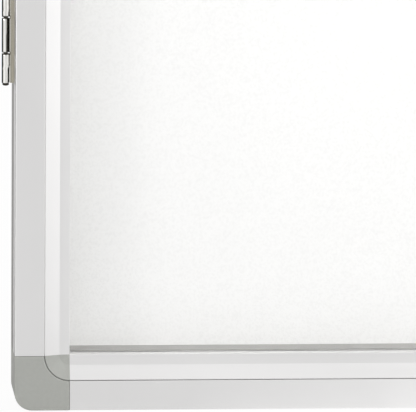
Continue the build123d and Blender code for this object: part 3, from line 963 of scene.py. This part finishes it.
@dataclass
class ButtHinges(Assembly):
    """The two butt hinges: rolled leaves with countersunk plates, domed pins and screws."""

    axis_x: float = -310.6 * MM
    axis_y: float = -28.6 * MM
    offset: float = 200.0 * MM
    end_knuckle: float = 20.5 * MM
    middle_knuckle: float = 24.7 * MM
    knuckle_gap: float = 0.56 * MM
    barrel_radius: float = 2.7 * MM
    bore_radius: float = 1.56 * MM
    barrel_round: float = 0.15 * MM
    knee: float = 3.0 * MM
    plate_start: float = 2.85 * MM
    plate_end: float = 24.6 * MM
    plate_corner: float = 3.0 * MM
    plate_centre: float = 0.8 * MM
    thickness: float = 1.2 * MM
    strap_overlap: float = 0.3 * MM
    screw_offset: float = 16.6 * MM
    screw_pitch: float = 22.0 * MM
    screw: CrossScrew = CrossScrew(9.0 * MM)
    hole_radius: float = 3.15 * MM
    shank_hole: float = 1.55 * MM
    pin_radius: float = 1.5 * MM
    tip_radius: float = 2.3 * MM
    tip_length: float = 2.0 * MM
    tip_gap: float = 0.1 * MM
    tip_rim: float = 0.9 * MM
    tip_groove: float = 0.84
    tip_foot: float = 0.94
    tip_steps: Tuple[float, ...] = (0.0, 0.0, 0.12, 0.3, 0.4, 0.52, 0.62)
    lower_stops: Triple = (64.0, -3.0, 0.52)
    upper_stops: Triple = (52.0, -3.0, 0.16)
    middle_stops: Triple = (86.0, 82.0, 0.5)
    slack: float = 1.05
    roll_steps: int = 32
    levels: int = 15

    @property
    def half(self) -> float:
        """Half the height of a hinge."""
        return self.end_knuckle + self.middle_knuckle / 2

    def build(self) -> None:
        """Build the leaves, pins and screws of both hinges."""
        middle, gap = self.middle_knuckle / 2, self.knuckle_gap / 2
        for position, level in (("lower", -self.offset), ("upper", self.offset)):
            ends = [Knuckle(level - self.half, level - middle - gap, *self.lower_stops),
                    Knuckle(level + middle + gap, level + self.half, *self.upper_stops)]
            centre = [Knuckle(level - middle + 2 * gap, level + middle - 2 * gap,
                              *self.middle_stops)]
            self.make_leaf(position, level, ends, -self.plate_centre, Body.CASE)
            self.make_leaf(position, level, centre, self.plate_centre, Body.DOOR)
            self.make_pin(position, level)
        reach = self.plate_centre - self.thickness / 2
        for body, way in ((Body.CASE, 1.0), (Body.DOOR, -1.0)):
            places = [self.at(self.screw_offset, -way * reach, z + step * self.screw_pitch)
                      for z in (-self.offset, self.offset) for step in (-1, 0, 1)]
            self.screw.build(f"hinge_{body.value}_screws", places, way * TO_VIEWER,
                             self.finishes.zinc, body)

    def at(self, right: float, front: float, level: float) -> Vector:
        """Point measured from the hinge's axis.

        Args:
            right: Distance to the right.
            front: Distance towards the viewer.
            level: Height in the frame.

        Returns:
            The point.
        """
        return Vector((self.axis_x + right, self.axis_y - front, level))

    def make_leaf(self, position: str, level: float, knuckles: Sequence[Knuckle], centre: float,
                  body: Body) -> None:
        """Build one leaf: a flat plate and the knuckles rolled from its edge.

        Args:
            position: Which hinge.
            level: Height of the hinge's middle.
            knuckles: Its knuckles.
            centre: Distance of the plate's middle in front of the axis.
            body: Body that carries it.
        """
        bm = bmesh.new()
        self.add_plate(bm, level, centre, 1.0 if body is Body.CASE else -1.0)
        for knuckle in knuckles:
            self.add_knuckle(bm, knuckle, centre)
        finished(bm, f"rolled_{body.value}_leaf_{position}", self.finishes.nickel, body,
                 [f"hinge_{body.value}_leaf_{position}"])

    def add_plate(self, bm: Shape, level: float, centre: float, way: float) -> None:
        """Add the flat plate with its rounded corners and countersunk holes.

        Args:
            bm: Mesh to add to.
            level: Height of the hinge's middle.
            centre: Distance of the plate's middle in front of the axis.
            way: 1 if the screw heads face the viewer, -1 if they face the wall.
        """
        corner, half = self.plate_corner, self.half
        outline = [(self.plate_start, -half),
                   *arc((self.plate_end - corner, corner - half), corner, -90, 0, 6),
                   *arc((self.plate_end - corner, half - corner), corner, 0, 90, 6),
                   (self.plate_start, half)]
        heads = centre + way * self.thickness / 2
        shape = bmesh.new()
        loop(shape, [self.at(x, heads, level + z) for x, z in outline])
        holes = [self.at(self.screw_offset, heads, level + step * self.screw_pitch)
                 for step in (-1, 0, 1)]
        for hole in holes:
            bmesh.ops.create_circle(shape, cap_ends=False, radius=self.hole_radius,
                                    segments=self.screw.sides, matrix=facing(hole, way * TO_VIEWER))
        bmesh.ops.triangle_fill(shape, use_beauty=True, edges=shape.edges[:])
        made = bmesh.ops.extrude_face_region(shape, geom=shape.faces[:], use_keep_orig=True)["geom"]
        far = new_verts(made)
        bmesh.ops.translate(shape, vec=way * self.thickness * TO_WALL, verts=far)
        shrink = self.shank_hole / self.hole_radius
        for hole in holes:
            reach = self.hole_radius * self.slack
            near = [vert for vert in far if (vert.co.xz - hole.xz).length < reach]
            bmesh.ops.scale(shape, vec=(shrink, 1.0, shrink), verts=near,
                            space=Matrix.Translation(-hole))
        join(bm, shape)

    def station(self, right: float, front: float, outward: Vector, width: float) -> Matrix:
        """Matrix from a unit section of the sheet to its place along the rolled path.

        Args:
            right: Middle of the section, to the right of the axis.
            front: Middle of the section, in front of the axis.
            outward: Direction through the sheet, right and front, away from the roll's middle.
            width: Thickness along that direction.

        Returns:
            The matrix. Local X goes through the sheet, and local Z along the pin.
        """
        through = Vector((outward.x, -outward.y, 0.0)) * width
        along = Vector((-through.y, through.x, 0.0)).normalized()
        turn = Matrix((through, along, UP)).transposed().to_4x4()
        return Matrix.Translation(self.at(right, front, 0.0)) @ turn

    def add_knuckle(self, bm: Shape, knuckle: Knuckle, centre: float) -> None:
        """Roll one knuckle from the plate's edge, round behind the pin to its free end in front.

        Args:
            bm: Mesh to add to.
            knuckle: Its span and stops.
            centre: Distance of the plate's middle in front of the axis.
        """
        sheet = self.barrel_radius - self.bore_radius
        middle = (self.barrel_radius + self.bore_radius) / 2
        lean = math.atan2(centre, self.knee)
        join_angle = lean - math.acos(middle / math.hypot(self.knee, centre))
        flat = Vector((0.0, -1.0))
        radial = Vector((math.cos(join_angle), math.sin(join_angle)))
        mitre = (flat + radial) / (1.0 + flat.dot(radial))
        path = [self.station(self.plate_start + self.strap_overlap, centre, flat, sheet),
                self.station(self.knee, centre, mitre.normalized(), sheet * mitre.length),
                self.station(middle * radial.x, middle * radial.y, radial, sheet)]
        shape = bmesh.new()
        height = knuckle.high - knuckle.low
        lift = Matrix.Translation((knuckle.low + knuckle.high) / 2 * UP)
        upright = Matrix.Rotation(math.pi / 2, 4, "X")
        stand = lift @ upright @ Matrix.Diagonal((1.0, height, 1.0, 1.0))
        bmesh.ops.create_grid(shape, x_segments=1, y_segments=self.levels - 1, size=0.5,
                              matrix=path[0] @ stand)
        end = shape.faces[:]
        for index, (here, there) in enumerate(zip(path, path[1:])):
            end = bmesh.ops.extrude_face_region(shape, geom=end, use_keep_orig=index == 0)["geom"]
            bmesh.ops.transform(shape, matrix=there @ here.inverted(), verts=new_verts(end))
        full = join_angle + 2 * math.pi - math.radians(min(knuckle.low_stop, knuckle.high_stop))
        straight = set(shape.verts)
        bmesh.ops.spin(shape, geom=end, cent=self.at(0.0, 0.0, 0.0), axis=UP, dvec=Vector(),
                       angle=full, steps=self.roll_steps, use_merge=False, use_normal_flip=False,
                       use_duplicate=False)
        rolled = [vert for vert in shape.verts if vert not in straight]
        self.unwind(rolled, knuckle, join_angle, full)
        rims = [edge for edge in shape.edges if all(self.on_rim(v, knuckle) for v in edge.verts)]
        ease(shape, rims, self.barrel_round)
        join(bm, shape)

    def unwind(self, rolled: Sequence[Vert], knuckle: Knuckle, join_angle: float,
               full: float) -> None:
        """Turn a knuckle's rolled points back, so that its free end stops right at each level.

        Args:
            rolled: Points of the roll.
            knuckle: Its span and stops.
            join_angle: Where the roll starts.
            full: How far it was rolled.
        """
        least = min(knuckle.low_stop, knuckle.high_stop)
        length = knuckle.high - knuckle.low
        for vert in rolled:
            right, front = vert.co.x - self.axis_x, self.axis_y - vert.co.y
            share = (join_angle - math.atan2(front, right)) % (2 * math.pi) / full
            rise = ((vert.co.z - knuckle.low) / length - knuckle.low_share) / knuckle.step_share
            rise = min(1.0, max(0.0, rise))
            stop = knuckle.low_stop + (knuckle.high_stop - knuckle.low_stop) * rise
            back = math.radians(stop - least) * min(1.0, share)
            cos, sin = math.cos(back), math.sin(back)
            vert.co = self.at(right * cos - front * sin, right * sin + front * cos, vert.co.z)

    def on_rim(self, vert: Vert, knuckle: Knuckle) -> bool:
        """Test for a point on the outer rim of a knuckle's end.

        Args:
            vert: Point to test.
            knuckle: The knuckle.

        Returns:
            Whether it lies there.
        """
        near_end = min(abs(vert.co.z - knuckle.low), abs(vert.co.z - knuckle.high)) < NEAR
        radius = math.hypot(vert.co.x - self.axis_x, vert.co.y - self.axis_y)
        return near_end and abs(radius - self.barrel_radius) < NEAR

    def make_pin(self, position: str, level: float) -> None:
        """Turn a pin with a grooved, domed button at each end.

        Args:
            position: Which hinge.
            level: Height of the hinge's middle.
        """
        tip, length, seat = self.tip_radius, self.tip_length, self.half + self.tip_gap
        waist = tip * self.tip_groove
        radii = (self.pin_radius, tip * self.tip_foot, tip, tip, waist, waist, tip)
        upper = [(radius, seat + rise * MM) for radius, rise in zip(radii, self.tip_steps)]
        upper.append((tip, seat + self.tip_rim))
        upper += [(tip * math.cos(a), seat + self.tip_rim + (length - self.tip_rim) * math.sin(a))
                  for a in (math.radians(18 * i) for i in range(1, 5))]
        upper.append((0.0, seat + length))
        lower = [(radius, -height) for radius, height in reversed(upper)]
        bm = bmesh.new()
        turned(bm, [*lower, *upper], Matrix.Translation(self.at(0.0, 0.0, level)))
        # Its near-black finish is painted shade for the gaps where it shows.
        finished(bm, f"domed_hinge_pin_{position}", self.finishes.pin_painted_shade, Body.CASE,
                 [f"hinge_pin_{position}"])


@dataclass
class CamLock(Assembly):
    """The cam lock with its key."""

    centre_x: float = 294.775 * MM
    thickness: float = 2.0 * MM
    bow_height: float = 66.5 * MM
    bow_radius: float = 10.5 * MM
    hole_offset: float = 5.2 * MM
    hole_radius: float = 3.2 * MM
    neck_half: float = 4.5 * MM
    shoulder_height: float = 52.5 * MM
    blade_half: float = 3.5 * MM
    blade_end: float = 33.2 * MM
    notch_start: float = 3.0 * MM
    notch_pitch: float = 3.4 * MM
    notch_radius: float = 1.1 * MM
    notch_count: int = 4
    groove_half: float = 0.7 * MM
    groove_start: float = 2.0 * MM
    groove_end: float = 3.0 * MM
    groove_taper: Triple = (1.0, 0.97, 0.5)
    groove_depth: float = 0.4 * MM
    edge_round: float = 0.22 * MM
    tip_left: Pair = (1.8 * MM, 1.4 * MM)
    tip_right: Pair = (1.2 * MM, 1.2 * MM)

    def build(self) -> None:
        """Dress the lock and cut the key."""
        self.dress(self.finishes.lock_nickel, "lock_body", "lock_plug")
        self.dress(self.finishes.zinc, "lock_nut", "lock_cam")
        self.make_key()

    def key_outline(self) -> List[Pair]:
        """Outline of the key.

        Returns:
            Level and height pairs in order.
        """
        meet = math.degrees(math.asin(self.neck_half / self.bow_radius))
        points = arc((0.0, self.bow_height), self.bow_radius, 270 + meet, 630 - meet, 40)
        blade, end, shoulder = self.blade_half, self.blade_end, self.shoulder_height
        left, right = self.tip_left, self.tip_right
        points += [(-self.neck_half, shoulder), (-blade, shoulder), (-blade, end + left[1]),
                   (-blade + left[0], end), (blade - right[0], end), (blade, end + right[1])]
        for index in range(self.notch_count):
            height = end + self.notch_start + index * self.notch_pitch
            points += arc((blade, height), self.notch_radius, 270, 90, 6)
        return points + [(blade, shoulder), (self.neck_half, shoulder)]

    def make_key(self) -> None:
        """Cut a flat key with a round bow, a ring hole, notches and a groove on each side."""
        side = self.centre_x + self.thickness / 2
        shape = bmesh.new()
        ring = arc((0.0, self.bow_height + self.hole_offset), self.hole_radius, 0, 345, 23)
        half, low = self.groove_half, self.blade_end + self.groove_start
        high = self.shoulder_height + self.groove_end
        corners = ((-half, low), (half, low), (half, high), (-half, high))
        outline, hole, groove = (
            loop(shape, [Vector((side, -height, level)) for level, height in line])
            for line in (self.key_outline(), ring, corners))
        bmesh.ops.triangle_fill(shape, use_beauty=True, edges=outline + hole + groove)
        inwards = Vector((-1.0, 0.0, 0.0))
        floor = draw_out(shape, groove, self.groove_depth * inwards, Vector(self.groove_taper),
                         Vector((side, -(low + high) / 2, 0.0)))
        bmesh.ops.contextual_create(shape, geom=floor)
        draw_out(shape, outline + hole, self.thickness / 2 * inwards)
        ease(shape, outline + hole, self.edge_round, 1)
        every = shape.verts[:] + shape.edges[:] + shape.faces[:]
        twin = bmesh.ops.duplicate(shape, geom=every)["geom"]
        bmesh.ops.scale(shape, vec=(-1.0, 1.0, 1.0), verts=new_verts(twin),
                        space=Matrix.Translation((-self.centre_x, 0.0, 0.0)))
        bmesh.ops.remove_doubles(shape, verts=shape.verts[:], dist=NEAR)
        finished(shape, "cut_lock_key", self.finishes.lock_nickel, Body.PLUG,
                 ["lock_key"])


@dataclass(frozen=True)
class MirroredRoom:
    """What metal mirrors: a dark screen low behind on the left, a dimmer front, a bright card."""

    screen_tone: float = 0.0
    screen_end: float = 0.27
    behind: Pair = (-0.35, -0.05)
    beyond: Pair = (0.7, 0.95)
    left: Pair = (0.0, 0.35)
    low: Pair = (0.0, 0.15)
    front_way: Triple = (0.26, -0.966, 0.0)
    front_edge: Pair = (0.8, 0.96)
    front_tone: float = 0.78
    card_way: Triple = (0.79, -0.61, 0.0)
    card_edge: Pair = (0.8, 0.97)
    card_tone: float = 1.28

    def tone(self, nodes: NodeTree, backwards: Socket, forwards: Socket) -> Socket:
        """Brightness of the room in mirrored rays.

        Args:
            nodes: Nodes of the floor or the surroundings.
            backwards: Direction that finds the screen.
            forwards: Direction that finds the front and the card, of which the level part counts.

        Returns:
            The brightness.
        """
        apart = nodes.add("ShaderNodeSeparateXYZ", backwards).outputs
        inside = nodes.ramp(apart["Y"], self.behind, (0.0, 1.0), "SMOOTHSTEP")
        for axis, edge, end in (("Y", self.beyond, self.screen_end), ("X", self.left, 0.0),
                                ("Z", self.low, 0.0)):
            share = nodes.ramp(apart[axis], edge, (1.0, end), "SMOOTHSTEP")
            inside = nodes.math("MULTIPLY", inside, share)
        tone = nodes.ramp(inside, (0.0, 1.0), (1.0, self.screen_tone), "SMOOTHSTEP")
        flat = nodes.vector("MULTIPLY", forwards, (1.0, 1.0, 0.0))["Vector"]
        level = nodes.vector("NORMALIZE", flat)["Vector"]
        for way, edge, end in ((self.front_way, self.front_edge, self.front_tone),
                               (self.card_way, self.card_edge, self.card_tone)):
            near = nodes.vector("DOT_PRODUCT", level, way)["Value"]
            tone = nodes.math("MULTIPLY", tone, nodes.ramp(near, edge, (1.0, end), "SMOOTHSTEP"))
        return tone


class Paths:
    """Tests on the kind of a ray, for the floor and the surroundings."""

    def __init__(self, nodes: NodeTree) -> None:
        """Start with one Light Path node.

        Args:
            nodes: Nodes of the floor or the surroundings.
        """
        self.nodes = nodes
        self.path = nodes.add("ShaderNodeLightPath").outputs

    def seen(self) -> Socket:
        """Test for rays that show the background: straight, mirrored or through glass.

        Returns:
            A socket that is 1 for such rays.
        """
        largest = self.path["Is Camera Ray"]
        for name in ("Is Glossy Ray", "Is Transmission Ray"):
            largest = self.nodes.math("MAXIMUM", largest, self.path[name])
        return largest

    def mirrored(self, tone: Socket) -> Socket:
        """Keep a brightness for mirrored rays, and give 1 for the rest, those through glass too."""
        only = self.nodes.math("GREATER_THAN", self.path["Is Glossy Ray"],
                               self.path["Is Transmission Ray"])
        return self.nodes.add("ShaderNodeMix", only, A=1.0, B=tone).outputs["Result"]


@dataclass(frozen=True)
class SoftLamp:
    """Soft lamp aimed at the board."""

    name: str
    place: Triple
    width: float
    height: float
    power: float

    def build(self) -> None:
        """Hang the lamp."""
        data = bpy.data.lights.new(self.name, "AREA")
        data.shape, data.energy = "RECTANGLE", self.power
        data.size, data.size_y = self.width, self.height
        lamp = linked(self.name, data)
        lamp.location = self.place
        lamp.rotation_euler = (-Vector(self.place)).to_track_quat("-Z", "Y").to_euler()


@dataclass
class Studio:
    """Pale floor, soft lamps, surroundings that show white, and the camera."""

    floor_level: float = -0.4575
    floor_span: float = 8.0
    floor_tones: Pair = (0.86, 0.88)
    floor_grain: Grain = Grain((40.0,) * 3, 2.0)
    floor_glow: float = 0.95
    room_light: float = 0.7
    room: MirroredRoom = MirroredRoom()
    screen_centre: Triple = (-0.3, 0.0, 0.0)
    front_centre: Triple = (-0.3, 0.3, 0.0)
    camera_place: Triple = (-0.5684, -5.4423, 0.5251)
    camera_yaw: float = 4.195
    camera_pitch: float = 8.838
    camera_roll: float = 0.361
    camera_focus: float = 8000.0
    photo_width: float = 416.0
    sensor: float = 36.0
    lamps: Tuple[SoftLamp, ...] = (
        SoftLamp("key_lamp", (1.73, -1.14, 1.52), 1.2, 1.2, 38.0),
        SoftLamp("top_lamp", (-0.2, -2.4, 2.8), 2.4, 2.4, 1.0),
        SoftLamp("left_lamp", (-2.3, -1.5, 0.3), 0.5, 1.2, 9.0),
    )

    def build(self) -> None:
        """Set the colour handling, and make the floor, surroundings, lamps and camera."""
        bpy.context.scene.view_settings.view_transform = "Standard"
        self.make_floor()
        self.make_surroundings()
        for lamp in self.lamps:
            lamp.build()
        self.make_camera()

    def make_floor(self) -> None:
        """Add the pale floor, which shows white but keeps the object's shadow."""
        bm = bmesh.new()
        bmesh.ops.create_grid(bm, x_segments=1, y_segments=1, size=self.floor_span / 2,
                              matrix=Matrix.Translation(self.floor_level * UP))
        floor = linked("studio_floor", mesh_of(bm, "studio_floor"))
        nodes = MaterialNodes("studio_floor")
        dark, light = ((tone,) * 3 for tone in self.floor_tones)
        nodes.finish(Base_Color=nodes.blend(nodes.noise(self.floor_grain), dark, light),
                     Roughness=0.9)
        where = nodes.add("ShaderNodeTexCoord").outputs["Object"]
        backwards, forwards = (nodes.vector("SUBTRACT", where, centre)["Vector"]
                               for centre in (self.screen_centre, self.front_centre))
        flat = nodes.vector("MULTIPLY", backwards, (1.0, 1.0, 0.0))["Vector"]
        tone = self.room.tone(nodes, nodes.vector("NORMALIZE", flat)["Vector"], forwards)
        paths = Paths(nodes)
        glow = nodes.add("ShaderNodeEmission", Strength=paths.mirrored(tone))
        nodes.show(nodes.math("MULTIPLY", paths.seen(), self.floor_glow), glow)
        floor.data.materials.append(nodes.material)

    def make_surroundings(self) -> None:
        """Light the room evenly, and show it white but for what metal mirrors."""
        world = bpy.data.worlds.new("studio_room")
        bpy.context.scene.world = world
        world.use_nodes = True
        nodes = NodeTree(world.node_tree)
        way = nodes.add("ShaderNodeTexCoord").outputs["Generated"]
        paths = Paths(nodes)
        tone = paths.mirrored(self.room.tone(nodes, way, way))
        lit = nodes.tree.nodes["Background"]
        nodes.feed(lit.inputs["Color"], WHITE)
        nodes.feed(lit.inputs["Strength"], self.room_light)
        shown = nodes.add("ShaderNodeBackground", WHITE, tone)
        both = nodes.add("ShaderNodeMixShader", paths.seen(), lit.outputs[0], shown.outputs[0])
        nodes.feed(nodes.tree.nodes["World Output"].inputs["Surface"], both.outputs["Shader"])

    def make_camera(self) -> None:
        """Place the camera where the photo's lines put it."""
        yaw, pitch, roll = (math.radians(angle) for angle in (
            self.camera_yaw, self.camera_pitch, self.camera_roll))
        forward = Vector((math.sin(yaw) * math.cos(pitch), math.cos(yaw) * math.cos(pitch),
                          -math.sin(pitch)))
        right = Vector((math.cos(yaw), -math.sin(yaw), 0.0))
        up = right.cross(forward)
        across = right * math.cos(roll) + up * math.sin(roll)
        above = up * math.cos(roll) - right * math.sin(roll)
        turn = Matrix((across, above, -forward)).transposed().to_4x4()
        data = bpy.data.cameras.new("photo_camera")
        data.sensor_width = self.sensor
        data.lens = self.camera_focus / self.photo_width * self.sensor
        data.clip_start, data.clip_end = 0.1, 100.0
        camera = linked("photo_camera", data)
        camera.matrix_world = Matrix.Translation(self.camera_place) @ turn
        bpy.context.scene.camera = camera


def main() -> None:
    """Build the studio and dress every sub-assembly in order."""
    logging.basicConfig(level=logging.INFO, format="%(name)s: %(message)s")
    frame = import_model()
    Studio().build()
    finishes = Finishes()
    for assembly in (CaseFrame, NoticePanel, GlazedDoor, ButtHinges, CamLock):
        assembly(frame["nodes"], finishes).build()


if __name__ == "__main__":
    main()
